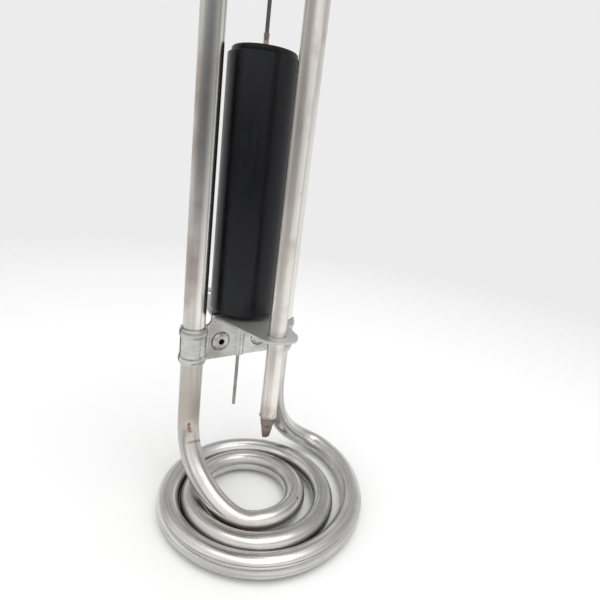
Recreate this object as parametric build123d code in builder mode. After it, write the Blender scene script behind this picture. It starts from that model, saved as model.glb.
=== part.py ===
"""Immersion heater with a float, for a condensate or defrost-water tray.

One bent tubular element hangs from a round flange as two legs and a flat spiral coil.
A folded bracket of two equal halves ties the legs together near the coil, steadies the
temperature-probe tube on its front shelf and guides the rod of a float that slides
between the legs. The row's origin is the centre of the flange's underside, on the rod's
axis; X runs from leg to leg, the probe tube is on the -Y side, and Z is up.
"""

import os

from build123d import *

os.makedirs("parts", exist_ok=True)

# Heights are given above the surface that the coil stands on, and turned into Z by level().
stand_height = 212.0

# Heating element: one tube, two straight legs and a spiral wound clockwise inwards.
tube_d = 8.5
leg_pitch = 40.0
leg_above_flange = 14.0
coil_start = (47.7, -11.9)
coil_radii = (45.4, 35.6, 33.3, 30.8, 29.0, 26.4, 24.1, 20.2)
coil_last_radius = 18.6
coil_last_angle = 121.0
right_bend_height = 45.0
right_bend_drop = 32.9
right_bend_reach = 22.8
left_bend_height = 37.1
left_bend_drop = 15.2
left_bend_reach = 12.6
left_bend_waist = (-23.2, -8.0)
left_bend_waist_height = 19.0
end_bore_d = 5.4
end_bore_depth = 5.0

# Probe tube (thermowell), closed by a pinched and brazed tip.
well_d = 6.2
well_wall = 0.6
well_offset = 26.4
well_top_above_flange = 12.0
well_body_height = 44.2
well_tip_height = 35.1
well_tip_width = 3.2
well_tip_thickness = 2.0
well_plug_length = 3.0
weld_bead = 0.35

# Bracket: two pressed halves of one sheet thickness.
sheet = 0.8
clamp_fit = 0.02
clamp_bottom_height = 58.2
clamp_top_height = 72.3
clamp_slit = 0.8
channel_fillet = 1.1
bead_length = 3.2
bead_rise = 0.45
bead_margin = 0.3
bead_root = 0.3
shelf_rise = 4.3
shelf_half_width = 12.9
shelf_nose_radius = 7.6
well_hole_clearance = 0.15
fold_inner_radius = 0.4
shoulder_radius = 2.4
rod_groove_clearance = 0.35

# Blind rivets through both webs.
rivet_pitch = 17.6
rivet_height = 65.3
rivet_shank_d = 4.0
rivet_hole_clearance = 0.05
rivet_head_d = 7.5
rivet_head_thickness = 1.0
rivet_bore_d = 2.3
rivet_bore_depth = 1.9
rivet_tail_d = 5.6
rivet_tail_length = 2.4

# Float and its rod.
float_d = 25.3
float_wall = 1.5
float_floor = 2.0
float_length = 91.1
float_edge_radius = 1.0
cap_step = 1.2
cap_thickness = 2.2
cap_edge_radius = 0.9
cap_spigot_depth = 4.0
cap_spigot_fit = 0.05
float_rod_fit = 0.05
rod_d = 1.4
rod_bottom_height = 35.1
rod_top_above_flange = 16.0
retainer_d = 8.0
retainer_thickness = 1.1
shelf_rest_gap = 0.3
top_washer_d = 8.8
top_washer_thickness = 0.8
sleeve_d = 2.0
sleeve_length = 4.6

# Mounting flange and what is fixed to it.
flange_d = 84.0
flange_thickness = 3.0
flange_edge = 0.4
bolt_circle_d = 70.0
bolt_hole_d = 5.5
bolt_count = 4
tube_hole_clearance = 0.1
collar_wall = 2.4
collar_height = 5.0
collar_chamfer = 0.8
guide_body_d = 6.0
guide_head_d = 10.0
guide_head_thickness = 2.0
guide_running_clearance = 0.06
guide_hole_clearance = 0.05

# Terminals on the leg ends.
insulator_head_d = 8.0
insulator_head_length = 5.0
insulator_fit = 0.05
pin_d = 2.4
pin_fit = 0.05
pin_above_insulator = 10.0
tab_width = 6.3
tab_thickness = 0.8
tab_length = 16.0
tab_overlap = 6.0
tab_hole_d = 1.7

tube_r = tube_d / 2
well_r = well_d / 2
rod_r = rod_d / 2
leg_x = leg_pitch / 2
sides = (("left", -leg_x), ("right", leg_x))


def level(height):
    """Z of a height above the standing surface."""
    return height - stand_height


def save(piece, name):
    """Label a finished piece and write it to its own STEP file."""
    piece.part.label = name
    export_step(piece.part, f"parts/{name}.step")


# Heating element: the coil is a chain of tangent quarter arcs on the coil plane, and each
# leg runs into it through a free bend that is vertical at the leg and tangent to the coil.
# The left bend's waist point lifts it over the middle turn.
coil_plane = Plane.XY.offset(level(tube_r))
with BuildLine(coil_plane) as coil_line:
    turn = JernArc(coil_start, (0, -1), coil_radii[0], -90)
    for radius in coil_radii[1:]:
        turn = JernArc(turn @ 1, turn % 1, radius, -90)
    JernArc(turn @ 1, turn % 1, coil_last_radius, -coil_last_angle)
coil_in = coil_line.line @ 0
coil_in_heading = coil_line.line % 0
coil_out = coil_line.line @ 1
coil_out_heading = coil_line.line % 1

with BuildLine() as element_path:
    leg_top = (leg_x, 0, leg_above_flange)
    bend_top = (leg_x, 0, level(right_bend_height))
    Line(leg_top, bend_top)
    Bezier(
        bend_top,
        (leg_x, 0, level(right_bend_height - right_bend_drop)),
        coil_in - coil_in_heading * right_bend_reach,
        coil_in,
    )
    add(coil_line.line)
    bend_top = (-leg_x, 0, level(left_bend_height))
    Bezier(
        coil_out,
        coil_out + coil_out_heading * left_bend_reach,
        (*left_bend_waist, level(left_bend_waist_height)),
        (-leg_x, 0, level(left_bend_height - left_bend_drop)),
        bend_top,
    )
    Line(bend_top, (-leg_x, 0, leg_above_flange))

with BuildPart() as heating_element:
    with BuildSketch(Plane.XY.offset(leg_above_flange)):
        with Locations((leg_x, 0)):
            Circle(tube_r)
    sweep(path=element_path.wires()[0])
    with Locations(*[(x, 0, leg_above_flange) for _, x in sides]):
        Hole(end_bore_d / 2, depth=end_bore_depth)
save(heating_element, "heating_element")


# Probe tube: an open tube from above the flange down to its weld bead, then a pinched,
# brazed plug that goes from round to a flat oblong tip.
with BuildPart() as thermowell:
    with BuildSketch(Plane.XY.offset(level(well_body_height))):
        with Locations((0, -well_offset)):
            Circle(well_r)
    extrude(amount=stand_height - well_body_height + well_top_above_flange)
    with BuildSketch(Plane.XY.offset(level(well_body_height))):
        with Locations((0, -well_offset)):
            Circle(well_r)
    with BuildSketch(Plane.XY.offset(level(well_tip_height))):
        with Locations((0, -well_offset)):
            Ellipse(well_tip_width / 2, well_tip_thickness / 2)
    loft()
    with BuildSketch(Plane.XZ.offset(well_offset)):
        with Locations((well_r, level(well_body_height))):
            Circle(weld_bead)
    revolve(axis=Axis((0, -well_offset, 0), (0, 0, 1)))
    with Locations((0, -well_offset, well_top_above_flange)):
        Hole(
            well_r - well_wall,
            depth=stand_height + well_top_above_flange - well_body_height - well_plug_length,
        )
save(thermowell, "thermowell")


# Bracket halves: one pressing used twice, turned half a turn about the rod. Its plan section
# wraps half of each leg and leaves a groove for the rod; the web's top folds out into a
# triangular shelf whose nose holds the probe tube on the front half.
channel_r = tube_r + clamp_fit
groove_r = rod_r + rod_groove_clearance
fold_outer_radius = fold_inner_radius + sheet
shelf_height = clamp_top_height + shelf_rise
fold_start_height = shelf_height - fold_outer_radius
shelf_underside_height = shelf_height - sheet
bracket_reach = leg_x + channel_r + sheet + bead_rise

with BuildPart() as bracket_front:
    with BuildSketch(Plane.XY.offset(level(clamp_bottom_height))) as plan:
        Rectangle(leg_pitch, 2 * sheet)
        with Locations(*[(x, 0) for _, x in sides]):
            Circle(channel_r + sheet)
        Circle(groove_r + sheet)
        fillet(plan.vertices(), channel_fillet)
        with Locations(*[(x, 0) for _, x in sides]):
            Circle(channel_r, mode=Mode.SUBTRACT)
        with Locations((0, bracket_reach)):
            Rectangle(2 * bracket_reach, 2 * bracket_reach, mode=Mode.SUBTRACT)
    extrude(amount=fold_start_height - clamp_bottom_height)

    # Round beads pressed out near the top and bottom edge of each leg channel.
    bead_starts = (
        clamp_bottom_height + bead_margin,
        clamp_top_height - bead_margin - bead_length,
    )
    for _, x in sides:
        for bead_start in bead_starts:
            with BuildSketch(Plane.XZ):
                with BuildLine():
                    outside = x + channel_r + sheet
                    low = (outside, level(bead_start))
                    high = (outside, level(bead_start + bead_length))
                    ThreePointArc(
                        low,
                        (outside + bead_rise, level(bead_start + bead_length / 2)),
                        high,
                    )
                    Polyline(
                        high,
                        (outside - bead_root, high[1]),
                        (outside - bead_root, low[1]),
                        low,
                    )
                make_face()
            revolve(axis=Axis((x, 0, 0), (0, 0, -1)), revolution_arc=180)

    # Above the clamps only the web goes on up, with a round shoulder on each side.
    with BuildSketch(Plane.XZ) as above_clamps:
        cut_width = bracket_reach - shelf_half_width
        for side in (-1, 1):
            with Locations(
                (side * (shelf_half_width + cut_width / 2), level(clamp_top_height + shelf_rise / 2))
            ):
                Rectangle(cut_width, shelf_rise)
        inner_corners = above_clamps.vertices().group_by(Axis.Y)[0].sort_by(
            lambda corner: abs(corner.X)
        )[:2]
        fillet(inner_corners, shoulder_radius)
    extrude(amount=bracket_reach, both=True, mode=Mode.SUBTRACT)

    # The fold and the shelf.
    with BuildSketch(Plane.YZ):
        with BuildLine():
            fold_centre = (-fold_outer_radius, level(fold_start_height))
            outer_bend = CenterArc(fold_centre, fold_outer_radius, 0, 90)
            inner_bend = CenterArc(fold_centre, fold_inner_radius, 0, 90)
            Line(outer_bend @ 0, inner_bend @ 0)
            Line(outer_bend @ 1, inner_bend @ 1)
        make_face()
    extrude(amount=shelf_half_width, both=True)
    with BuildSketch(Plane.XY.offset(level(shelf_underside_height))):
        with Locations((0, -fold_outer_radius - sheet / 2)):
            Rectangle(2 * shelf_half_width, sheet)
        with Locations((0, -well_offset)):
            Circle(shelf_nose_radius)
        make_hull()
        with Locations((0, -well_offset)):
            Circle(well_r + well_hole_clearance, mode=Mode.SUBTRACT)
    extrude(amount=sheet)

    # Open the slit between the halves, clear the rod and pierce the rivet holes.
    with BuildSketch(Plane.XY.offset(level(clamp_bottom_height))):
        for _, x in sides:
            with Locations((x + x * bracket_reach / leg_x, 0)):
                Rectangle(2 * bracket_reach, clamp_slit)
    extrude(amount=clamp_top_height - clamp_bottom_height, mode=Mode.SUBTRACT)
    with BuildSketch(Plane.XY.offset(level(clamp_bottom_height))):
        Circle(groove_r)
    extrude(amount=shelf_height - clamp_bottom_height, mode=Mode.SUBTRACT)
    with BuildSketch(Plane.XZ):
        with Locations((0, level(rivet_height))):
            with GridLocations(rivet_pitch, 0, 2, 1):
                Circle(rivet_shank_d / 2 + rivet_hole_clearance)
    extrude(amount=sheet, mode=Mode.SUBTRACT)
save(bracket_front, "bracket_front")

with BuildPart() as bracket_rear:
    add(bracket_front.part, rotation=(0, 0, 180))
save(bracket_rear, "bracket_rear")


def blind_rivet(x):
    """A set blind rivet: domed head in front, bulged tail behind, mandrel end in its bore."""
    head_y = -sheet - rivet_head_thickness
    tail_y = sheet + rivet_tail_length
    tail_neck = (rivet_shank_d + rivet_tail_d) / 4
    with BuildPart() as rivet:
        with BuildSketch(Plane.XY.offset(level(rivet_height))):
            with BuildLine():
                Polyline(
                    (x, tail_y),
                    (x, head_y + rivet_bore_depth),
                    (x + rivet_bore_d / 2, head_y + rivet_bore_depth),
                    (x + rivet_bore_d / 2, head_y),
                )
                Line((x + rivet_bore_d / 2, head_y), (x + rivet_bore_d, head_y))
                ThreePointArc(
                    (x + rivet_bore_d, head_y),
                    (x + 0.8 * rivet_head_d / 2, head_y + 0.3 * rivet_head_thickness),
                    (x + rivet_head_d / 2, -sheet - 0.1 * rivet_head_thickness),
                )
                Polyline(
                    (x + rivet_head_d / 2, -sheet - 0.1 * rivet_head_thickness),
                    (x + rivet_head_d / 2, -sheet),
                    (x + rivet_shank_d / 2, -sheet),
                    (x + rivet_shank_d / 2, sheet),
                    (x + tail_neck, sheet),
                )
                ThreePointArc(
                    (x + tail_neck, sheet),
                    (x + rivet_tail_d / 2, (sheet + tail_y) / 2),
                    (x + rivet_shank_d / 2, tail_y),
                )
                Line((x + rivet_shank_d / 2, tail_y), (x, tail_y))
            make_face()
        revolve(axis=Axis((x, 0, level(rivet_height)), (0, 1, 0)))
    return rivet


save(blind_rivet(-rivet_pitch / 2), "rivet_left")
save(blind_rivet(rivet_pitch / 2), "rivet_right")


def ring(outer_d, inner_d, bottom_z, length):
    """A plain ring on the Z axis, standing on bottom_z."""
    with BuildPart() as piece:
        with BuildSketch(Plane.XY.offset(bottom_z)):
            Circle(outer_d / 2)
            Circle(inner_d / 2, mode=Mode.SUBTRACT)
        extrude(amount=length)
    return piece


# Float: a plastic cup closed by a press-in cap, both threaded on the rod and held between
# the retainer below and the washer and crimped sleeve above.
float_bore_d = rod_d + 2 * float_rod_fit
cup_inner_r = float_d / 2 - float_wall
retainer_bottom_height = shelf_height + shelf_rest_gap
float_bottom_height = retainer_bottom_height + retainer_thickness
float_seam_height = float_bottom_height + float_length

with BuildPart() as float_body:
    with BuildSketch(Plane.XY.offset(level(float_bottom_height))):
        Circle(float_d / 2)
    extrude(amount=float_length)
    fillet(float_body.faces().sort_by(Axis.Z)[0].edges(), float_edge_radius)
    with Locations((0, 0, level(float_seam_height))):
        Hole(cup_inner_r, depth=float_length - float_floor)
        Hole(float_bore_d / 2)
save(float_body, "float_body")

with BuildPart() as float_cap:
    with BuildSketch(Plane.XY.offset(level(float_seam_height))):
        Circle(float_d / 2 - cap_step)
    extrude(amount=cap_thickness)
    fillet(float_cap.faces().sort_by(Axis.Z)[-1].edges(), cap_edge_radius)
    with BuildSketch(Plane.XY.offset(level(float_seam_height))):
        Circle(cup_inner_r - cap_spigot_fit)
        Circle(cup_inner_r - cap_spigot_fit - float_wall, mode=Mode.SUBTRACT)
    extrude(amount=-cap_spigot_depth)
    with Locations((0, 0, level(float_seam_height + cap_thickness))):
        Hole(float_bore_d / 2)
save(float_cap, "float_cap")

cap_top_height = float_seam_height + cap_thickness
washer_top_height = cap_top_height + top_washer_thickness

save(
    ring(retainer_d, float_bore_d, level(retainer_bottom_height), retainer_thickness),
    "float_retainer",
)
save(
    ring(top_washer_d, float_bore_d, level(cap_top_height), top_washer_thickness),
    "float_washer",
)
save(ring(sleeve_d, float_bore_d, level(washer_top_height), sleeve_length), "rod_sleeve")

with BuildPart() as float_rod:
    with BuildSketch(Plane.XY.offset(level(rod_bottom_height))):
        Circle(rod_r)
    extrude(amount=stand_height - rod_bottom_height + rod_top_above_flange)
    chamfer(float_rod.edges().filter_by(GeomType.CIRCLE), rod_r / 4)
save(float_rod, "float_rod")


# Mounting flange: a plain turned disc with four bolt holes between the tube holes.
guide_hole_d = guide_body_d + 2 * guide_hole_clearance
with BuildPart() as mounting_flange:
    with BuildSketch():
        Circle(flange_d / 2)
        with PolarLocations(bolt_circle_d / 2, bolt_count, 45):
            Circle(bolt_hole_d / 2, mode=Mode.SUBTRACT)
        with Locations(*[(x, 0) for _, x in sides]):
            Circle(tube_r + tube_hole_clearance, mode=Mode.SUBTRACT)
        with Locations((0, -well_offset)):
            Circle(well_r + tube_hole_clearance, mode=Mode.SUBTRACT)
        Circle(guide_hole_d / 2, mode=Mode.SUBTRACT)
    extrude(amount=flange_thickness)
    rims = mounting_flange.edges().filter_by(GeomType.CIRCLE).sort_by(SortBy.RADIUS)[-2:]
    chamfer(rims, flange_edge)
save(mounting_flange, "mounting_flange")


def collar(x, y, bore_r):
    """A turned collar brazed round a tube where it leaves the flange's top face."""
    with BuildPart() as piece:
        with BuildSketch(Plane.XY.offset(flange_thickness)):
            with Locations((x, y)):
                Circle(bore_r + collar_wall)
                Circle(bore_r, mode=Mode.SUBTRACT)
        extrude(amount=collar_height)
        top_rim = piece.faces().sort_by(Axis.Z)[-1].edges().sort_by(SortBy.RADIUS)[-1]
        chamfer(top_rim, collar_chamfer)
    return piece


for side, x in sides:
    save(collar(x, 0, tube_r + clamp_fit), f"leg_collar_{side}")
save(collar(0, -well_offset, well_r + clamp_fit), "well_collar")

with BuildPart() as rod_guide:
    with BuildSketch():
        Circle(guide_body_d / 2)
    extrude(amount=flange_thickness)
    with BuildSketch(Plane.XY.offset(flange_thickness)):
        Circle(guide_head_d / 2)
    extrude(amount=guide_head_thickness)
    head_rim = rod_guide.faces().sort_by(Axis.Z)[-1].edges()
    chamfer(head_rim, guide_head_thickness / 4)
    with Locations((0, 0, flange_thickness + guide_head_thickness)):
        Hole(rod_r + guide_running_clearance)
save(rod_guide, "rod_guide")


# Terminals: a ceramic bead plugs each leg end, and the cold pin through it carries a tab.
bore_bottom_z = leg_above_flange - end_bore_depth
pin_top_z = leg_above_flange + insulator_head_length + pin_above_insulator


def insulator(x):
    """Ceramic bead with a spigot in the leg's end bore."""
    with BuildPart() as bead:
        with BuildSketch(Plane.XY.offset(bore_bottom_z)):
            with Locations((x, 0)):
                Circle(end_bore_d / 2 - insulator_fit)
        extrude(amount=end_bore_depth)
        with BuildSketch(Plane.XY.offset(leg_above_flange)):
            with Locations((x, 0)):
                Circle(insulator_head_d / 2)
        extrude(amount=insulator_head_length)
        fillet(bead.faces().sort_by(Axis.Z)[-1].edges(), insulator_head_length / 5)
        with Locations((x, 0, leg_above_flange + insulator_head_length)):
            Hole(pin_d / 2 + pin_fit)
    return bead


def terminal_pin(x):
    """Cold pin, standing on the floor of the leg's end bore."""
    with BuildPart() as pin:
        with BuildSketch(Plane.XY.offset(bore_bottom_z)):
            with Locations((x, 0)):
                Circle(pin_d / 2)
        extrude(amount=pin_top_z - bore_bottom_z)
        chamfer(pin.faces().sort_by(Axis.Z)[-1].edges(), pin_d / 8)
    return pin


def terminal_tab(x):
    """Flat push-on tab, spot-welded to the back of the pin."""
    tab_bottom_z = pin_top_z - tab_overlap
    with BuildPart() as tab:
        with BuildSketch(Plane.XZ.offset(-pin_d / 2)) as blade:
            with Locations((x, tab_bottom_z + tab_length / 2)):
                Rectangle(tab_width, tab_length)
            chamfer(blade.vertices().group_by(Axis.Y)[-1], tab_width / 6)
            with Locations((x, tab_bottom_z + tab_length - tab_width / 2)):
                Circle(tab_hole_d / 2, mode=Mode.SUBTRACT)
        extrude(amount=-tab_thickness)
    return tab


for side, x in sides:
    save(insulator(x), f"insulator_{side}")
    save(terminal_pin(x), f"terminal_pin_{side}")
    save(terminal_tab(x), f"terminal_tab_{side}")
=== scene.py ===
import math

import bmesh
import bpy
from mathutils import Matrix, Vector, noise


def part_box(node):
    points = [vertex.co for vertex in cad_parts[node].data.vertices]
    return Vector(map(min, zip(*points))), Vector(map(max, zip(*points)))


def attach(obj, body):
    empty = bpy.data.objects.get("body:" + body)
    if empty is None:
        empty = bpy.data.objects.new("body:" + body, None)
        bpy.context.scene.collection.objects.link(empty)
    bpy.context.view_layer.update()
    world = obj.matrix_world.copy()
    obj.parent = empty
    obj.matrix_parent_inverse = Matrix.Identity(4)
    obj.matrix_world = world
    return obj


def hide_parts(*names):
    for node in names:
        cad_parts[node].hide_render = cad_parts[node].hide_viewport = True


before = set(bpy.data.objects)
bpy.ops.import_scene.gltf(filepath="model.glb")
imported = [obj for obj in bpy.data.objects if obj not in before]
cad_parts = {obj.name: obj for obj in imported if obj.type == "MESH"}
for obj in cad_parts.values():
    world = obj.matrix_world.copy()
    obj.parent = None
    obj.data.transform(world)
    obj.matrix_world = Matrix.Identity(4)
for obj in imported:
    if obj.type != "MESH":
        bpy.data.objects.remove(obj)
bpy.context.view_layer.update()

# Heating element: one stainless tube, packed with powder round its wire, wound into a flat
# spiral on a mandrel and bent up into two legs. Drawing has left fine lengthwise lines, and
# use has left dull brownish legs, a scorched spot, a bending mark and two small pits.
STAND = 0.212
TUBE_R = 0.00425
TUBE_SIDES = 64
LEG_X = 0.020
LEG_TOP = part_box("heating_element")[1].z
BORE_R = 0.0027
BORE_DEPTH = 0.005
END_FACE = 0.002
LIP = 0.0003
COIL_START = (0.0477, -0.0119)
COIL_RADII = (0.0454, 0.0356, 0.0333, 0.0308, 0.0290, 0.0264, 0.0241, 0.0202)
INNER_RADIUS = 0.0186
INNER_ANGLE = 121
RIGHT_BEND_TOP = 0.0450
RIGHT_BEND_DROP = 0.0329
RIGHT_BEND_REACH = 0.0228
LEFT_BEND_TOP = 0.0371
LEFT_BEND_DROP = 0.0152
LEFT_BEND_REACH = 0.0126
LEFT_BEND_WAIST = (-0.0232, -0.008)
LEFT_BEND_WAIST_HEIGHT = 0.0190
ARC_STEP_DEGREES = 3
BEND_STEPS = 48


def above_table(height):
    """Z of a height in metres above the surface the coil stands on."""
    return height - STAND


def wind(line, heading, radius, degrees):
    """Carries the tube's line on clockwise round an arc in the coil's plane."""
    centre = line[-1] + Vector((heading.y, -heading.x, 0)) * radius
    arm = line[-1] - centre
    steps = degrees // ARC_STEP_DEGREES
    for step in range(1, steps + 1):
        turned = Matrix.Rotation(-math.radians(degrees * step / steps), 3, "Z")
        line.append(centre + turned @ arm)
    return turned @ heading


def bend(line, controls):
    """Carries the tube's line on through a free bend, drawn by its control points."""
    for step in range(1, BEND_STEPS + 1):
        share = step / BEND_STEPS
        row = [Vector(point) for point in controls]
        while len(row) > 1:
            row = [a.lerp(b, share) for a, b in zip(row, row[1:])]
        line.append(row[0])


coil_start = Vector((*COIL_START, above_table(TUBE_R)))
heading = Vector((0, -1, 0))
right_bend_top = Vector((LEG_X, 0, above_table(RIGHT_BEND_TOP)))
centreline = [Vector((LEG_X, 0, LEG_TOP)), right_bend_top]
bend(
    centreline,
    [
        right_bend_top,
        (LEG_X, 0, above_table(RIGHT_BEND_TOP - RIGHT_BEND_DROP)),
        coil_start - heading * RIGHT_BEND_REACH,
        coil_start,
    ],
)
for radius in COIL_RADII:
    heading = wind(centreline, heading, radius, 90)
heading = wind(centreline, heading, INNER_RADIUS, INNER_ANGLE)
left_bend_top = Vector((-LEG_X, 0, above_table(LEFT_BEND_TOP)))
bend(
    centreline,
    [
        centreline[-1],
        centreline[-1] + heading * LEFT_BEND_REACH,
        (*LEFT_BEND_WAIST, above_table(LEFT_BEND_WAIST_HEIGHT)),
        (-LEG_X, 0, above_table(LEFT_BEND_TOP - LEFT_BEND_DROP)),
        left_bend_top,
    ],
)
centreline.append(Vector((-LEG_X, 0, LEG_TOP)))


def finish_mesh(name, bm, sharp_degrees=40):
    """Turns a bmesh into a smooth-shaded piece with its real creases kept sharp."""
    bmesh.ops.recalc_face_normals(bm, faces=bm.faces)
    mesh = bpy.data.meshes.new(name)
    bm.to_mesh(mesh)
    bm.free()
    mesh.shade_smooth()
    mesh.set_sharp_from_angle(angle=math.radians(sharp_degrees))
    piece = bpy.data.objects.new(name, mesh)
    bpy.context.scene.collection.objects.link(piece)
    return piece


def sheathe(name, line, radius, sides):
    """Builds the tube's skin on its centreline, with bored ends, and a UV map in metres."""
    bm = bmesh.new()
    uv = bm.loops.layers.uv.new("along_and_around")
    stations = []
    run = 0.0
    lean = Vector((0, 1, 0))
    for index, point in enumerate(line):
        ahead = line[min(index + 1, len(line) - 1)] - line[max(index - 1, 0)]
        ahead.normalize()
        lean = (lean - ahead * lean.dot(ahead)).normalized()
        if index:
            run += (point - line[index - 1]).length
        stations.append([point, ahead, lean.copy(), radius, run])
    for end, sign in ((0, 1), (-1, -1)):
        point, ahead, lean, _, run = stations[end]
        inward = ahead * sign
        bored_end = [
            [point + inward * BORE_DEPTH, ahead, lean, BORE_R, run - sign * (END_FACE + BORE_DEPTH)],
            [point, ahead, lean, BORE_R, run - sign * END_FACE],
            [point, ahead, lean, radius - LIP, run - sign * LIP],
            [point + inward * LIP, ahead, lean, radius, run + sign * LIP],
        ]
        if sign > 0:
            stations[0:1] = bored_end
        else:
            stations[-1:] = bored_end[::-1]
    rings = []
    for point, ahead, lean, ring_radius, _ in stations:
        across = ahead.cross(lean)
        ring = []
        for side in range(sides):
            angle = 2 * math.pi * side / sides
            spoke = lean * math.cos(angle) + across * math.sin(angle)
            ring.append(bm.verts.new(point + spoke * ring_radius))
        rings.append(ring)
    step_round = 2 * math.pi * radius / sides
    for low, high, station, following in zip(rings, rings[1:], stations, stations[1:]):
        for side in range(sides):
            other = (side + 1) % sides
            face = bm.faces.new((low[side], low[other], high[other], high[side]))
            corners = (
                (station[4], side * step_round),
                (station[4], (side + 1) * step_round),
                (following[4], (side + 1) * step_round),
                (following[4], side * step_round),
            )
            for loop, corner in zip(face.loops, corners):
                loop[uv].uv = corner
    bm.faces.new(rings[0])
    bm.faces.new(rings[-1])
    return finish_mesh(name, bm)


def put(tree, kind, inputs=(), **settings):
    """Adds a shader node, sets its options, and sets or links its inputs."""
    node = tree.nodes.new(kind)
    for option, value in settings.items():
        setattr(node, option, value)
    for socket, value in dict(inputs).items():
        if isinstance(value, bpy.types.NodeSocket):
            tree.links.new(value, node.inputs[socket])
        else:
            node.inputs[socket].default_value = value
    return node


def on_object(tree):
    """The place on the object, in metres."""
    return put(tree, "ShaderNodeTexCoord").outputs["Object"]


def along_tube(tree):
    """The place along and around a tube, in metres."""
    return put(tree, "ShaderNodeUVMap", uv_map="along_and_around").outputs["UV"]


def maths(tree, operation, first, second=0.0):
    """One sum, product or the like of two values."""
    return put(tree, "ShaderNodeMath", {0: first, 1: second}, operation=operation).outputs["Value"]


def times(tree, first, second):
    """Multiplies two masks."""
    return maths(tree, "MULTIPLY", first, second)


def ramp(tree, factor, *stops):
    """A colour ramp from (position, colour) stops."""
    node = put(tree, "ShaderNodeValToRGB", {"Fac": factor})
    while len(node.color_ramp.elements) < len(stops):
        node.color_ramp.elements.new(0.5)
    for element, (position, colour) in zip(node.color_ramp.elements, stops):
        element.position = position
        element.color = (*colour, 1)
    return node.outputs["Color"]


def scale_to(tree, factor, low, high, from_low=0.0, from_high=1.0):
    """Maps a factor onto a range of values, clamped at both ends."""
    node = put(
        tree,
        "ShaderNodeMapRange",
        {
            "Value": factor,
            "From Min": from_low,
            "From Max": from_high,
            "To Min": low,
            "To Max": high,
        },
    )
    return node.outputs["Result"]


def blend_colours(tree, factor, first, second):
    """Mixes two colours, each a socket or three numbers."""
    first, second = (
        colour if isinstance(colour, bpy.types.NodeSocket) else (*colour, 1)
        for colour in (first, second)
    )
    return put(tree, "ShaderNodeMix", {0: factor, 6: first, 7: second}, data_type="RGBA").outputs[2]


def darken_by(tree, tone, layer):
    """Multiplies a colour by a layer of shades."""
    return put(
        tree, "ShaderNodeMix", {0: 1.0, 6: tone, 7: layer}, data_type="RGBA", blend_type="MULTIPLY"
    ).outputs[2]


def grey(level):
    """A neutral colour."""
    return (level, level, level)


def clouds(tree, where, scale, detail):
    """Cloudy noise round 0.5. A scale of three numbers stretches it along the axes."""
    if isinstance(scale, tuple):
        where = put(tree, "ShaderNodeMapping", {"Vector": where, "Scale": scale}).outputs["Vector"]
        scale = 1.0
    return put(
        tree, "ShaderNodeTexNoise", {"Vector": where, "Scale": scale, "Detail": detail}
    ).outputs["Fac"]


def blotches(tree, scale, low, high):
    """Cloudy patches, from 0 to 1 between two levels of the noise."""
    return scale_to(tree, clouds(tree, on_object(tree), scale, 6.0), 0.0, 1.0, low, high)


def near(tree, place, core, reach, ragged=0.0):
    """1 within core metres of a place on the object, falling to 0 at reach."""
    where = on_object(tree)
    gap = put(tree, "ShaderNodeVectorMath", {0: where, 1: place}, operation="DISTANCE")
    distance = gap.outputs["Value"]
    if ragged:
        grit = clouds(tree, where, 900.0, 3.0)
        distance = maths(tree, "ADD", distance, scale_to(tree, grit, -ragged, ragged))
    return scale_to(tree, distance, 1.0, 0.0, core, reach)


def height_mask(tree, low, high):
    """0 at one height and 1 at the other, on the object. The first may be the higher one."""
    height = put(tree, "ShaderNodeSeparateXYZ", {0: on_object(tree)}).outputs["Z"]
    return scale_to(tree, height, 0.0, 1.0, low, high)


def facing(tree, x, y, heading, low, high, radius):
    """The side of an upright tube that faces a compass heading, in degrees from X."""
    spoke = put(
        tree, "ShaderNodeVectorMath", {0: on_object(tree), 1: (x, y, 0.0)}, operation="SUBTRACT"
    ).outputs["Vector"]
    angle = math.radians(heading)
    ahead = (math.cos(angle) / radius, math.sin(angle) / radius, 0.0)
    share = put(tree, "ShaderNodeVectorMath", {0: spoke, 1: ahead}, operation="DOT_PRODUCT")
    return scale_to(tree, share.outputs["Value"], 0.0, 1.0, low, high)


def band(tree, value, middle, half, edge):
    """1 within half a width of a middle value, falling to 0 over an edge."""
    off = maths(tree, "SUBTRACT", value, middle)
    return scale_to(tree, maths(tree, "ABSOLUTE", off), 1.0, 0.0, half, half + edge)


def drawn_steel(name, light, dark, roughness, line_depth):
    """Stainless tube as drawn: fine lengthwise lines, soft smudges and a satin gloss."""
    material = bpy.data.materials.new(name)
    material.use_nodes = True
    tree = material.node_tree
    shader = tree.nodes["Principled BSDF"]
    shader.inputs["Metallic"].default_value = 1.0
    along = along_tube(tree)
    lines = clouds(tree, along, (45.0, 3800.0, 1.0), 4.0)
    bands = clouds(tree, along, (22.0, 1000.0, 1.0), 2.0)
    stripes = clouds(tree, along, (5.0, 420.0, 1.0), 2.0)
    smudges = clouds(tree, on_object(tree), 90.0, 6.0)
    tone = ramp(tree, smudges, (0.35, dark), (0.62, light))
    for pattern, low, shade, high in (
        (lines, 0.3, grey(0.84), 0.7),
        (bands, 0.38, grey(0.80), 0.55),
        (stripes, 0.38, (0.80, 0.79, 0.78), 0.56),
    ):
        tone = darken_by(tree, tone, ramp(tree, pattern, (low, shade), (high, grey(1.0))))
    tree.links.new(tone, shader.inputs["Base Color"])
    line_gloss = scale_to(tree, lines, -0.05, 0.05, 0.3, 0.7)
    smudge_gloss = scale_to(tree, smudges, roughness + 0.06, roughness - 0.03, 0.35, 0.65)
    tree.links.new(maths(tree, "ADD", line_gloss, smudge_gloss), shader.inputs["Roughness"])
    bump = put(
        tree, "ShaderNodeBump", {"Height": lines, "Strength": line_depth, "Distance": 0.0002}
    )
    tree.links.new(bump.outputs["Normal"], shader.inputs["Normal"])
    return material


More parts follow.
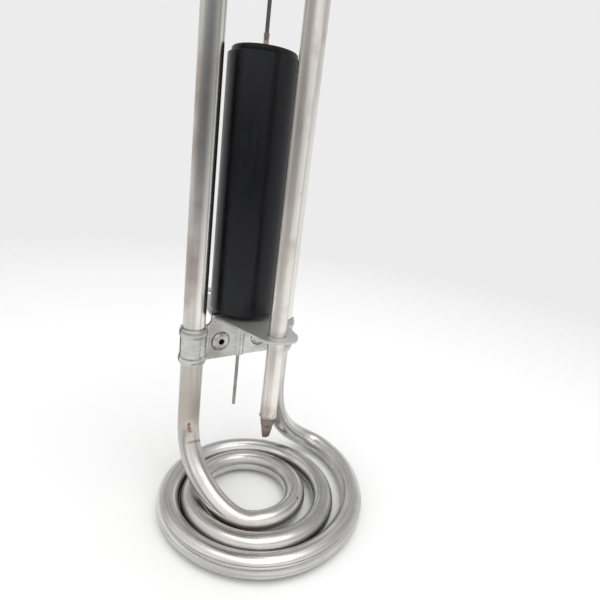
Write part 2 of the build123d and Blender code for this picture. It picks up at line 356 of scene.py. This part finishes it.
def tint(material, mask, colour, roughness=None):
    """Lays a stain, a tarnish, painted shade or a painted highlight over a material's colour, and
    its gloss too where one is given.
    """
    tree = material.node_tree
    shader = tree.nodes["Principled BSDF"]
    under = shader.inputs["Base Color"].links[0].from_socket
    tree.links.new(blend_colours(tree, mask, under, colour), shader.inputs["Base Color"])
    if roughness is not None:
        under = shader.inputs["Roughness"].links[0].from_socket
        duller = put(tree, "ShaderNodeMix", {0: mask, 2: under, 3: roughness})
        tree.links.new(duller.outputs[0], shader.inputs["Roughness"])


element = sheathe("heating_element_skin", centreline, TUBE_R, TUBE_SIDES)
element_steel = drawn_steel("element_steel", (0.76, 0.75, 0.735), (0.64, 0.63, 0.615), 0.25, 0.05)
nodes = element_steel.node_tree
on_legs = height_mask(nodes, above_table(0.046), above_table(0.075))
tint(element_steel, times(nodes, on_legs, 0.7), (0.62, 0.59, 0.55), 0.23)
leg_blotches = times(nodes, on_legs, blotches(nodes, 55.0, 0.5, 0.68))
tint(element_steel, leg_blotches, (0.40, 0.345, 0.31), 0.34)
lower_leg = times(
    nodes,
    height_mask(nodes, above_table(0.050), above_table(0.075)),
    height_mask(nodes, above_table(0.185), above_table(0.140)),
)
# Painted highlight: a lighter, glossier stripe down one side of the lower left leg, and over the
# lower right leg.
painted_highlight_stripe = times(nodes, facing(nodes, -LEG_X, 0.0, 281, 0.80, 0.96, TUBE_R), lower_leg)
tint(element_steel, times(nodes, painted_highlight_stripe, 0.8), (0.90, 0.88, 0.84), 0.22)
# Painted reflection: the front of the upper left leg, the side towards the dark part of the room, is
# painted near-black.
left_leg_front = times(
    nodes,
    facing(nodes, -LEG_X, 0.0, 243, 0.72, 1.0, TUBE_R),
    facing(nodes, -LEG_X, 0.0, 243, -1.0, -0.9, TUBE_R),
)
painted_dark_reflection = times(
    nodes, left_leg_front, height_mask(nodes, above_table(0.085), above_table(0.170))
)
tint(element_steel, times(nodes, painted_dark_reflection, 0.85), (0.17, 0.175, 0.185), 0.30)
bend_shade = near(nodes, (-0.0240, -0.0032, -0.1720), 0.003, 0.011, 0.001)
tint(element_steel, times(nodes, bend_shade, 0.6), (0.34, 0.32, 0.29), 0.34)
bend_shine = near(nodes, (-0.0190, -0.0050, -0.1790), 0.002, 0.007, 0.001)
tint(element_steel, times(nodes, bend_shine, 0.7), (0.92, 0.90, 0.87), 0.25)
dull_patch = near(nodes, (-0.0212, -0.0046, -0.1750), 0.004, 0.016, 0.003)
tint(element_steel, times(nodes, dull_patch, 0.8), (0.52, 0.46, 0.40), 0.42)
lower_left_leg = near(nodes, (-0.0225, -0.0030, -0.1590), 0.010, 0.026, 0.003)
tint(element_steel, times(nodes, lower_left_leg, 0.6), (0.46, 0.42, 0.38), 0.40)
inner_front = near(nodes, (-0.0130, -0.0350, -0.2062), 0.003, 0.013, 0.003)
tint(element_steel, times(nodes, inner_front, 0.5), (0.50, 0.42, 0.36), 0.34)
streak = near(nodes, (-0.0183, -0.0121, -0.1913), 0.001, 0.006, 0.002)
tint(element_steel, times(nodes, streak, 0.45), (0.42, 0.36, 0.33), 0.36)
scorches = ((-0.0217, -0.0046, -0.1791), (-0.0215, -0.0046, -0.1806), (-0.0213, -0.0048, -0.1817))
for scorch in scorches:
    pale_edge = near(nodes, scorch, 0.0010, 0.0024, 0.0005)
    tint(element_steel, times(nodes, pale_edge, 0.35), (0.80, 0.74, 0.68), 0.35)
for scorch in scorches:
    tint(element_steel, near(nodes, scorch, 0.0003, 0.0011, 0.0005), (0.30, 0.15, 0.08), 0.55)
for pit in ((0.0215, -0.0131, -0.2042), (0.0129, -0.0348, -0.2041)):
    tint(element_steel, near(nodes, pit, 0.0002, 0.0006, 0.0002), grey(0.03), 0.7)
# A thin dark line along the front of the outer turn, over a short run of it.
run_and_round = put(nodes, "ShaderNodeSeparateXYZ", {0: along_tube(nodes)}).outputs
dark_front_line = times(
    nodes,
    band(nodes, run_and_round["Y"], 0.00485, 0.00006, 0.00016),
    band(nodes, run_and_round["X"], 0.332, 0.022, 0.022),
)
tint(element_steel, times(nodes, dark_front_line, 0.8), grey(0.13), 0.4)
bending_mark = times(
    nodes,
    band(nodes, run_and_round["X"], 0.7066, 0.0003, 0.0005),
    near(nodes, (-0.0195, -0.0072, -0.1858), 0.0022, 0.0045),
)
tint(element_steel, times(nodes, bending_mark, 0.7), (0.24, 0.21, 0.19), 0.4)
# Painted shade: colour darkened where the tube is hemmed in by nearby turns, found by occlusion.
crevices = put(nodes, "ShaderNodeAmbientOcclusion", {"Distance": 0.007}).outputs["AO"]
painted_crevice_shade = scale_to(nodes, crevices, 1.0, 0.0, 0.15, 0.6)
tint(element_steel, times(nodes, painted_crevice_shade, 0.8), (0.20, 0.19, 0.19), 0.4)
element.data.materials.append(element_steel)
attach(element, "frame")
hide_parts("heating_element")


# Probe tube: a thinner stainless tube, pinched and brazed shut at its lower end. The weld
# stands out as a small uneven ring, and the braze below it has burnt brown.
WELL_Y = -0.0264
WELL_R = 0.0031
WELL_BORE_R = 0.0025
WELL_BORE_SHOWN = 0.02
WELL_EDGE = 0.0001
WELL_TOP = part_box("thermowell")[1].z
WELL_MIDDLE = above_table(0.12)
WELD = above_table(0.0442)
WELD_REACH = 0.0016
WELD_STEPS = 16
WELD_HALF_WIDTH = 0.00032
WELD_BULGE = 0.00022
WELD_LUMPS = 0.00011
BRAZE_LUMPS = 0.00010
BRAZE_START = 0.001
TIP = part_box("thermowell")[0].z
TIP_WIDE = 0.0016
TIP_DEEP = 0.0010
TIP_END = (0.0011, 0.0006)
TIP_STEPS = 24
TIP_SHARE = 0.985
MAP_GIRTH = 2 * math.pi * 0.004


def turn(name, axis, profile, sides=64, ragged=None, closed=False):
    """Turns a skin round an upright axis from (radius, height) points, with a UV map in metres.

    A radius may be a pair, for a section that is wider one way than the other.
    """
    bm = bmesh.new()
    uv = bm.loops.layers.uv.new("along_and_around")
    points = [(r if isinstance(r, tuple) else (r, r), z) for r, z in profile]
    rings = []
    runs = []
    run = 0.0
    for index, ((wide, deep), z) in enumerate(points):
        if index:
            (wide_before, _), z_before = points[index - 1]
            run += math.hypot(wide - wide_before, z - z_before)
        runs.append(run)
        ring = []
        for side in range(sides):
            angle = 2 * math.pi * side / sides
            push = ragged(angle, z) if ragged else 0.0
            x = axis[0] + (wide + push) * math.cos(angle)
            y = axis[1] + (deep + push) * math.sin(angle)
            ring.append(bm.verts.new((x, y, z)))
        rings.append(ring)
    pairs = list(zip(range(len(rings) - 1), range(1, len(rings))))
    if closed:
        pairs.append((len(rings) - 1, 0))
    for low, high in pairs:
        for side in range(sides):
            other = (side + 1) % sides
            face = bm.faces.new(
                (rings[low][side], rings[low][other], rings[high][other], rings[high][side])
            )
            corners = ((low, side), (low, side + 1), (high, side + 1), (high, side))
            for loop, (ring_index, step) in zip(face.loops, corners):
                loop[uv].uv = (runs[ring_index], step * MAP_GIRTH / sides)
    if not closed:
        bm.faces.new(rings[0])
        bm.faces.new(rings[-1])
    return finish_mesh(name, bm)


def weld_bulge(angle, z):
    """The weld's uneven ring, and the lumpy braze below it."""
    ring = math.exp(-(((z - WELD) / WELD_HALF_WIDTH) ** 2))
    lumps = noise.noise(Vector((4 * math.cos(angle), 4 * math.sin(angle), z * 2500)))
    below = min(1.0, max(0.0, (WELD - z) / BRAZE_START))
    return ring * (WELD_BULGE + WELD_LUMPS * lumps) + below * BRAZE_LUMPS * (lumps - 0.6)


well_profile = [
    (WELL_BORE_R, WELL_TOP - WELL_BORE_SHOWN),
    (WELL_BORE_R, WELL_TOP - 2 * WELL_EDGE),
    (WELL_BORE_R + WELL_EDGE, WELL_TOP),
    (WELL_R - WELL_EDGE, WELL_TOP),
    (WELL_R, WELL_TOP - WELL_EDGE),
    (WELL_R, 0.0),
    (WELL_R, WELL_MIDDLE),
]
for step in range(WELD_STEPS + 1):
    well_profile.append((WELL_R, WELD + WELD_REACH * (1 - step / WELD_STEPS)))
for step in range(1, TIP_STEPS + 1):
    share = step / TIP_STEPS
    wide = WELL_R + (TIP_WIDE - WELL_R) * share
    deep = WELL_R + (TIP_DEEP - WELL_R) * share
    well_profile.append(((wide, deep), WELD + (TIP - WELD) * share * TIP_SHARE))
well_profile.append((TIP_END, TIP))
probe_tube = turn("probe_tube_skin", (0, WELL_Y), well_profile, 72, weld_bulge)
probe_steel = drawn_steel("probe_steel", (0.80, 0.77, 0.725), (0.68, 0.64, 0.60), 0.31, 0.08)
nodes = probe_steel.node_tree
# Painted highlight: a lighter, glossier stripe down one side of the probe tube.
painted_highlight_stripe = facing(nodes, 0.0, WELL_Y, 272, 0.82, 0.97, WELL_R)
tint(probe_steel, times(nodes, painted_highlight_stripe, 0.7), (0.94, 0.91, 0.86), 0.28)
# Painted reflection: a dark lengthwise band down the front of the probe tube, where it faces the
# dark part of the room.
painted_dark_band = times(
    nodes,
    facing(nodes, 0.0, WELL_Y, 214, 0.90, 1.0, WELL_R),
    height_mask(nodes, above_table(0.060), above_table(0.190)),
)
tint(probe_steel, times(nodes, painted_dark_band, 0.8), (0.34, 0.31, 0.30), 0.32)
tint(probe_steel, times(nodes, blotches(nodes, 120.0, 0.55, 0.72), 0.5), (0.50, 0.44, 0.39), 0.45)
near_weld = times(
    nodes, height_mask(nodes, WELD + 0.006, WELD + 0.0004), blotches(nodes, 500.0, 0.42, 0.6)
)
tint(probe_steel, times(nodes, near_weld, 0.7), (0.34, 0.27, 0.22), 0.5)
brazed = height_mask(nodes, WELD + 0.0001, WELD - 0.0005)
tint(probe_steel, brazed, (0.34, 0.30, 0.27), 0.38)
tint(probe_steel, times(nodes, brazed, blotches(nodes, 420.0, 0.5, 0.62)), (0.16, 0.12, 0.10), 0.5)
tip_burn = near(nodes, (0, WELL_Y, TIP), 0.0010, 0.0045, 0.0012)
tint(probe_steel, times(nodes, tip_burn, 0.8), (0.16, 0.07, 0.05), 0.55)
probe_tube.data.materials.append(probe_steel)
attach(probe_tube, "frame")
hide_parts("thermowell")


# Bracket: two pressings of thin stainless sheet, back to back round the legs. The rolled
# sheet is duller and greyer than the tubes, with faint scuffs. The joint along the clamps is
# dark, shadow is painted on the sheet round the rivet heads, and the shelf's top is painted lighter.
RIVET_X = 0.0088
RIVET_Z = above_table(0.0653)
RIVET_HEAD_R = 0.00375
SHELF_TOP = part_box("bracket_front")[1].z


def from_rivet(tree, x):
    """Distance from a rivet's axis."""
    flat = put(
        tree,
        "ShaderNodeVectorMath",
        {0: on_object(tree), 1: (1.0, 0.0, 1.0)},
        operation="MULTIPLY",
    ).outputs["Vector"]
    return put(
        tree, "ShaderNodeVectorMath", {0: flat, 1: (x, 0.0, RIVET_Z)}, operation="DISTANCE"
    ).outputs["Value"]


def worked_metal(name, light, dark, roughness, grain, scuff_depth):
    """Rolled, turned or plated metal: cloudy tones, a fine grain and short scuffs."""
    material = bpy.data.materials.new(name)
    material.use_nodes = True
    tree = material.node_tree
    shader = tree.nodes["Principled BSDF"]
    shader.inputs["Metallic"].default_value = 1.0
    where = on_object(tree)
    cloudy = clouds(tree, where, 140.0, 6.0)
    fibres = clouds(tree, where, grain, 3.0)
    tone = ramp(tree, cloudy, (0.36, dark), (0.62, light))
    fibre_tone = ramp(tree, fibres, (0.35, grey(0.86)), (0.65, grey(1.0)))
    tree.links.new(darken_by(tree, tone, fibre_tone), shader.inputs["Base Color"])
    gloss = scale_to(tree, cloudy, roughness + 0.07, roughness - 0.05, 0.35, 0.65)
    tree.links.new(gloss, shader.inputs["Roughness"])
    bump = put(
        tree, "ShaderNodeBump", {"Height": fibres, "Strength": scuff_depth, "Distance": 0.0002}
    )
    tree.links.new(bump.outputs["Normal"], shader.inputs["Normal"])
    return material


def dress(node, finish):
    """Gives a piece of the frame its finish, in place of the plain one it came with."""
    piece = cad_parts[node]
    piece.data.materials.clear()
    piece.data.materials.append(finish)


bracket_sheet = worked_metal(
    "bracket_sheet", (0.61, 0.61, 0.595), (0.47, 0.47, 0.455), 0.30, (150.0, 900.0, 1400.0), 0.10
)
nodes = bracket_sheet.node_tree
# Painted shadow: a dark ring on the sheet round each rivet head, where the head shades it.
for x in (-RIVET_X, RIVET_X):
    painted_rivet_shadow = scale_to(
        nodes, from_rivet(nodes, x), 1.0, 0.0, RIVET_HEAD_R + 0.00003, RIVET_HEAD_R + 0.00035
    )
    patchy = blotches(nodes, 600.0, 0.35, 0.5)
    tint(bracket_sheet, times(nodes, painted_rivet_shadow, patchy), (0.07, 0.065, 0.06), 0.7)
# Painted light: the shelf's top face is coloured lighter than the rest of the sheet, and made
# rougher.
shelf_top_painted_light = height_mask(nodes, SHELF_TOP - 0.00005, SHELF_TOP - 0.00002)
tint(bracket_sheet, shelf_top_painted_light, (0.66, 0.66, 0.65), 0.52)
# The joint where the two halves meet is coloured dark.
from_joint = put(nodes, "ShaderNodeSeparateXYZ", {0: on_object(nodes)}).outputs["Y"]
dark_joint = band(nodes, from_joint, 0.0, 0.00012, 0.00038)
tint(bracket_sheet, times(nodes, dark_joint, 0.9), (0.06, 0.055, 0.05), 0.7)
for half in ("bracket_front", "bracket_rear"):
    dress(half, bracket_sheet)


# Rivets: two blind rivets of plain steel through both halves. The domed heads are dull, with
# painted shadow round the rim, and the hole left by the broken mandrel is painted black as shade.
rivet_steel = worked_metal("rivet_steel", grey(0.66), grey(0.50), 0.34, (900.0, 900.0, 900.0), 0.12)
nodes = rivet_steel.node_tree
# Painted shadow: a dark ring round the rim of each head, where it meets the sheet.
nearest = maths(nodes, "MINIMUM", from_rivet(nodes, -RIVET_X), from_rivet(nodes, RIVET_X))
painted_rim_shadow = scale_to(nodes, nearest, 0.0, 1.0, RIVET_HEAD_R - 0.00035, RIVET_HEAD_R - 0.00005)
patchy = blotches(nodes, 600.0, 0.38, 0.55)
tint(rivet_steel, times(nodes, painted_rim_shadow, patchy), (0.09, 0.08, 0.07), 0.6)
# Painted shade: the mandrel hole at each head's centre is coloured black.
mandrel_hole = scale_to(nodes, nearest, 1.0, 0.0, 0.0011, 0.0013)
tint(rivet_steel, mandrel_hole, (0.012, 0.011, 0.010), 0.7)
for rivet in ("rivet_left", "rivet_right"):
    dress(rivet, rivet_steel)


# Float: a black moulded cup and its press-in cap. The mould has left a satin skin with a
# softened rim, so the seam between cup and cap catches a thin line of light.
FLOAT_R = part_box("float_body")[1].x
FLOAT_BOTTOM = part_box("float_body")[0].z
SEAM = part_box("float_body")[1].z
CAP_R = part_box("float_cap")[1].x
CAP_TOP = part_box("float_cap")[1].z
FLOAT_BORE_R = 0.00075
CUP_FOOT_EDGE = 0.001
CUP_RIM_EDGE = 0.0003
CUP_WALL = 0.0015
CAP_FOOT_EDGE = 0.0002
CAP_RIM_EDGE = 0.0009
CAP_SPIGOT = 0.004


def rounded(corner_r, corner_z, radius, start, end, steps=8):
    """Points of a rounded edge, from one direction to another, in degrees."""
    points = []
    for step in range(steps + 1):
        angle = math.radians(start + (end - start) * step / steps)
        points.append((corner_r + radius * math.cos(angle), corner_z + radius * math.sin(angle)))
    return points


def moulded(name, colour, roughness, flow):
    """Moulded plastic or pressed ceramic: nearly one colour, a soft sheen and faint scuffs."""
    material = bpy.data.materials.new(name)
    material.use_nodes = True
    tree = material.node_tree
    shader = tree.nodes["Principled BSDF"]
    shader.inputs["Specular IOR Level"].default_value = 0.30
    where = on_object(tree)
    cloudy = clouds(tree, where, 60.0, 5.0)
    scuffs = clouds(tree, where, flow, 4.0)
    lighter = tuple(1.35 * channel for channel in colour)
    darker = tuple(0.75 * channel for channel in colour)
    tree.links.new(
        ramp(tree, cloudy, (0.35, darker), (0.65, lighter)), shader.inputs["Base Color"]
    )
    gloss = scale_to(tree, scuffs, roughness - 0.05, roughness + 0.10, 0.35, 0.7)
    tree.links.new(gloss, shader.inputs["Roughness"])
    bump = put(
        tree, "ShaderNodeBump", {"Height": scuffs, "Strength": 0.015, "Distance": 0.0001}
    )
    tree.links.new(bump.outputs["Normal"], shader.inputs["Normal"])
    return material


cup_profile = [(FLOAT_BORE_R, FLOAT_BOTTOM)]
cup_profile += rounded(
    FLOAT_R - CUP_FOOT_EDGE, FLOAT_BOTTOM + CUP_FOOT_EDGE, CUP_FOOT_EDGE, -90, 0
)
cup_profile += rounded(FLOAT_R - CUP_RIM_EDGE, SEAM - CUP_RIM_EDGE, CUP_RIM_EDGE, 0, 90, 5)
cup_profile += [
    (FLOAT_R - CUP_WALL, SEAM),
    (FLOAT_R - CUP_WALL, SEAM - CAP_SPIGOT),
    (FLOAT_BORE_R, SEAM - CAP_SPIGOT),
]
cup = turn("float_cup", (0, 0), cup_profile, 96, closed=True)
float_black = moulded("float_black", (0.0030, 0.0034, 0.0056), 0.30, (400.0, 400.0, 60.0))
cup.data.materials.append(float_black)
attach(cup, "float")
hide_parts("float_body")

cap_profile = [(FLOAT_BORE_R, SEAM)]
cap_profile += rounded(CAP_R - CAP_FOOT_EDGE, SEAM + CAP_FOOT_EDGE, CAP_FOOT_EDGE, -90, 0, 3)
cap_profile += rounded(CAP_R - CAP_RIM_EDGE, CAP_TOP - CAP_RIM_EDGE, CAP_RIM_EDGE, 0, 90)
cap_profile += [(FLOAT_BORE_R, CAP_TOP)]
cap = turn("float_cap_skin", (0, 0), cap_profile, 96, closed=True)
cap.data.materials.append(float_black)
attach(cap, "float")
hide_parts("float_cap")


# Float rod and what holds the float on it: a thin drawn wire, a flat washer and a crimped
# sleeve above the cap, both gone reddish brown, and a dull retainer below the float.
WASHER_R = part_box("float_washer")[1].x
WASHER_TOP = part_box("float_washer")[1].z
WASHER_EDGE = 0.00015
SLEEVE_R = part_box("rod_sleeve")[1].x
SLEEVE_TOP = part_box("rod_sleeve")[1].z
SLEEVE_EDGE = 0.0001
SLEEVE_STEPS = 24
CRIMP_DEPTH = 0.00012
CRIMP_HALF_WIDTH = 0.0009
washer_profile = [(FLOAT_BORE_R, CAP_TOP)]
washer_profile += rounded(WASHER_R - WASHER_EDGE, CAP_TOP + WASHER_EDGE, WASHER_EDGE, -90, 0, 3)
washer_profile += rounded(WASHER_R - WASHER_EDGE, WASHER_TOP - WASHER_EDGE, WASHER_EDGE, 0, 90, 3)
washer_profile += [(FLOAT_BORE_R, WASHER_TOP)]
washer = turn("stop_washer", (0, 0), washer_profile, 64, closed=True)
washer_brown = worked_metal(
    "washer_brown", (0.42, 0.27, 0.22), (0.22, 0.12, 0.09), 0.45, (700.0, 700.0, 700.0), 0.2
)
washer.data.materials.append(washer_brown)
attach(washer, "float")
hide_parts("float_washer")


def crimp(angle, z):
    """The pinch that two jaws left across the sleeve's middle."""
    middle = (WASHER_TOP + SLEEVE_TOP) / 2
    pinch = math.exp(-(((z - middle) / CRIMP_HALF_WIDTH) ** 2)) * abs(math.cos(angle))
    return -CRIMP_DEPTH * pinch


sleeve_profile = [(FLOAT_BORE_R, WASHER_TOP)]
sleeve_step = (SLEEVE_TOP - SLEEVE_EDGE - WASHER_TOP) / SLEEVE_STEPS
for step in range(SLEEVE_STEPS + 1):
    sleeve_profile.append((SLEEVE_R, WASHER_TOP + sleeve_step * step))
sleeve_profile += [(SLEEVE_R - SLEEVE_EDGE, SLEEVE_TOP), (FLOAT_BORE_R, SLEEVE_TOP)]
sleeve = turn("crimped_sleeve", (0, 0), sleeve_profile, 40, crimp, closed=True)
sleeve_metal = worked_metal(
    "sleeve_metal", (0.44, 0.35, 0.33), (0.20, 0.13, 0.12), 0.28, (900.0, 900.0, 500.0), 0.25
)
sleeve.data.materials.append(sleeve_metal)
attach(sleeve, "float")
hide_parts("rod_sleeve")

rod_steel = worked_metal(
    "rod_steel", (0.44, 0.42, 0.40), (0.26, 0.24, 0.22), 0.32, (2500.0, 2500.0, 60.0), 0.10
)
nodes = rod_steel.node_tree
darkened = height_mask(nodes, above_table(0.165), above_table(0.180))
tint(rod_steel, times(nodes, darkened, 0.85), (0.09, 0.082, 0.075), 0.30)
for node in ("float_rod", "float_retainer"):
    dress(node, rod_steel)


# Mounting flange: a turned stainless disc. The lathe has left fine rings on both faces, and
# the torch has left straw and brown tints round the three tubes.
FLANGE_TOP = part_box("mounting_flange")[1].z
RINGS_PER_METRE = 3000.0
TORCH_CORE = 0.004
flange_steel = worked_metal(
    "flange_steel", (0.70, 0.69, 0.67), (0.58, 0.57, 0.55), 0.28, (500.0, 500.0, 500.0), 0.03
)
nodes = flange_steel.node_tree
level_place = put(
    nodes,
    "ShaderNodeVectorMath",
    {0: on_object(nodes), 1: (1.0, 1.0, 0.0)},
    operation="MULTIPLY",
).outputs["Vector"]
from_centre = put(
    nodes, "ShaderNodeVectorMath", {0: level_place}, operation="LENGTH"
).outputs["Value"]
lathe_rings = put(
    nodes,
    "ShaderNodeTexNoise",
    {"W": times(nodes, from_centre, RINGS_PER_METRE)},
    noise_dimensions="1D",
).outputs["Fac"]
rings_bump = put(
    nodes, "ShaderNodeBump", {"Height": lathe_rings, "Strength": 0.15, "Distance": 0.0002}
)
nodes.links.new(rings_bump.outputs["Normal"], nodes.nodes["Principled BSDF"].inputs["Normal"])
for x, y, reach in ((-LEG_X, 0, 0.014), (LEG_X, 0, 0.014), (0, WELL_Y, 0.011)):
    straw = near(nodes, (x, y, FLANGE_TOP), TORCH_CORE, reach, 0.002)
    tint(flange_steel, times(nodes, straw, 0.7), (0.52, 0.38, 0.22), 0.36)
    burnt = near(nodes, (x, y, FLANGE_TOP), TORCH_CORE, reach - 0.004, 0.0015)
    tint(flange_steel, times(nodes, burnt, 0.7), (0.26, 0.17, 0.14), 0.42)
dress("mounting_flange", flange_steel)


# Collars: short turned rings, brazed round each tube where it leaves the flange. A thin
# uneven fillet of braze has run out round the foot of each one.
COLLAR_WALL = 0.0024
BRAZE_RISE = 0.001
BRAZE_RAGGED = 0.00035
collar_steel = worked_metal(
    "collar_steel", (0.64, 0.60, 0.54), (0.46, 0.38, 0.30), 0.34, (700.0, 700.0, 2500.0), 0.06
)
braze_brass = worked_metal(
    "braze_brass", (0.62, 0.47, 0.26), (0.38, 0.24, 0.13), 0.36, (800.0, 800.0, 800.0), 0.25
)


def run_out(angle, z):
    """The uneven edge of the braze that has run out on the flange."""
    lumps = noise.noise(Vector((2.5 * math.cos(angle), 2.5 * math.sin(angle), 0.5)))
    return BRAZE_RAGGED * lumps * max(0.0, 1 - (z - FLANGE_TOP) / BRAZE_RISE)


for label, x, y, bore in (
    ("leg_collar_left", -LEG_X, 0.0, TUBE_R),
    ("leg_collar_right", LEG_X, 0.0, TUBE_R),
    ("well_collar", 0.0, WELL_Y, WELL_R),
):
    dress(label, collar_steel)
    rim = bore + COLLAR_WALL
    fillet_profile = [
        (rim - 0.0004, FLANGE_TOP),
        (rim + 0.0012, FLANGE_TOP + 0.00005),
        (rim + 0.0007, FLANGE_TOP + 0.0002),
        (rim + 0.0003, FLANGE_TOP + 0.0005),
        (rim + 0.0001, FLANGE_TOP + 0.0009),
        (rim - 0.0004, FLANGE_TOP + BRAZE_RISE),
    ]
    braze = turn(label + "_braze", (x, y), fillet_profile, 72, run_out, closed=True)
    braze.data.materials.append(braze_brass)
    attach(braze, "frame")


# Rod guide: a white nylon bush with a flat head, pressed into the flange's centre hole from
# above. The rod slides in it.
guide_nylon = moulded("guide_nylon", (0.62, 0.61, 0.56), 0.42, (500.0, 500.0, 500.0))
dress("rod_guide", guide_nylon)


# Terminals: a cream ceramic bead seals each leg's end, a nickelled cold pin stands in it, and
# a flat tinned tab is spot-welded to the pin.
bead_ceramic = moulded("bead_ceramic", (0.58, 0.53, 0.43), 0.22, (900.0, 900.0, 900.0))
pin_nickel = worked_metal(
    "pin_nickel", (0.66, 0.63, 0.58), (0.52, 0.49, 0.44), 0.26, (2000.0, 2000.0, 90.0), 0.06
)
tab_tin = worked_metal(
    "tab_tin", (0.76, 0.75, 0.72), (0.62, 0.60, 0.56), 0.30, (2200.0, 2200.0, 120.0), 0.08
)
for side in ("left", "right"):
    dress("insulator_" + side, bead_ceramic)
    dress("terminal_pin_" + side, pin_nickel)
    dress("terminal_tab_" + side, tab_tin)


# Studio: a white table that fades into the backdrop without an edge, under one large soft
# light, in a pale room that is dark only low down in front, where the table ends.
TABLE_R = 0.60
FADE_START = 0.14
FADE_END = 0.9 * TABLE_R
LIGHT_SIZE = 0.75
LIGHT_WATTS = 3.2
LIGHT_PLACE = Vector((0.02, -0.14, 0.75))
LIGHT_AIM = Vector((0, -0.02, -0.2))
table = bmesh.new()
bmesh.ops.create_circle(table, cap_ends=True, radius=TABLE_R, segments=128)
bmesh.ops.translate(table, verts=table.verts, vec=(0, 0, above_table(0)))
floor = finish_mesh("floor", table)
floor_paint = bpy.data.materials.new("floor_paint")
floor_paint.use_nodes = True
paint = floor_paint.node_tree
coat = paint.nodes["Principled BSDF"]
coat.inputs["Base Color"].default_value = (0.90, 0.90, 0.90, 1)
coat.inputs["Emission Color"].default_value = (1, 1, 1, 1)
coat.inputs["Emission Strength"].default_value = 0.05
coat.inputs["Roughness"].default_value = 0.6
paint.links.new(near(paint, (0, 0, above_table(0)), FADE_START, FADE_END), coat.inputs["Alpha"])
floor.data.materials.append(floor_paint)

overhead = bpy.data.lights.new("overhead", "AREA")
overhead.shape = "RECTANGLE"
overhead.size = LIGHT_SIZE
overhead.size_y = LIGHT_SIZE
overhead.energy = LIGHT_WATTS
holder = bpy.data.objects.new("overhead", overhead)
holder.location = LIGHT_PLACE
holder.rotation_euler = (LIGHT_AIM - LIGHT_PLACE).to_track_quat("-Z", "Y").to_euler()
bpy.context.scene.collection.objects.link(holder)

world = bpy.data.worlds.new("studio_air")
world.use_nodes = True
air = world.node_tree
direction = put(air, "ShaderNodeTexCoord").outputs["Generated"]
height = put(air, "ShaderNodeSeparateXYZ", {0: direction}).outputs["Z"]
toward_front = put(
    air, "ShaderNodeVectorMath", {0: direction, 1: (-0.766, -0.643, 0.0)}, operation="DOT_PRODUCT"
).outputs["Value"]
forward = scale_to(air, toward_front, 0.0, 1.0, -1.0, 1.0)
low_wall = ramp(
    air,
    forward,
    (0.25, grey(0.84)),
    (0.45, grey(0.74)),
    (0.67, grey(0.52)),
    (0.83, grey(0.34)),
    (0.93, grey(0.18)),
    (0.98, grey(0.12)),
)
high_wall = ramp(air, forward, (0.30, grey(0.52)), (0.50, grey(0.92)), (0.75, (1.18, 1.18, 1.17)))
table_beyond = scale_to(air, height, 1.0, 0.0, -0.12, -0.03)
lower = blend_colours(air, table_beyond, low_wall, grey(0.84))
front_lift = scale_to(air, height, 0.0, 1.0, 0.14, 0.28)
back_lift = scale_to(air, height, 0.0, 1.0, 0.31, 0.50)
in_front = scale_to(air, forward, 0.0, 1.0, 0.40, 0.60)
lift = put(air, "ShaderNodeMix", {0: in_front, 2: back_lift, 3: front_lift}).outputs[0]
wall = blend_colours(air, lift, lower, high_wall)
ceiling = scale_to(air, height, 0.0, 1.0, 0.75, 0.92)
glow = blend_colours(air, ceiling, wall, grey(0.95))
air.links.new(glow, air.nodes["Background"].inputs["Color"])
air.nodes["Background"].inputs["Strength"].default_value = 1.0
bpy.context.scene.world = world
bpy.context.scene.view_settings.view_transform = "Standard"


# Camera: fitted to the edges of the legs, the float, the rod and the coil in the photograph.
# It stands in front and to the left, 14 cm above the table, looks down and leans over.
SENSOR_MM = 36.0
PHOTO_PIXELS = 600
FOCAL_PIXELS = 472.31
lens = bpy.data.cameras.new("photo_view")
lens.sensor_width = SENSOR_MM
lens.lens = SENSOR_MM * FOCAL_PIXELS / PHOTO_PIXELS
lens.clip_start = 0.01
camera = bpy.data.objects.new("photo_view", lens)
right = Vector((0.8097, -0.5743, 0.1206))
up = Vector((0.0719, 0.3011, 0.9509))
look = Vector((0.5824, 0.7613, -0.2851))
pose = Matrix((right, up, -look)).transposed().to_4x4()
pose.translation = (-0.09082, -0.15585, -0.07437)
camera.matrix_world = pose
bpy.context.scene.collection.objects.link(camera)
bpy.context.scene.camera = camera
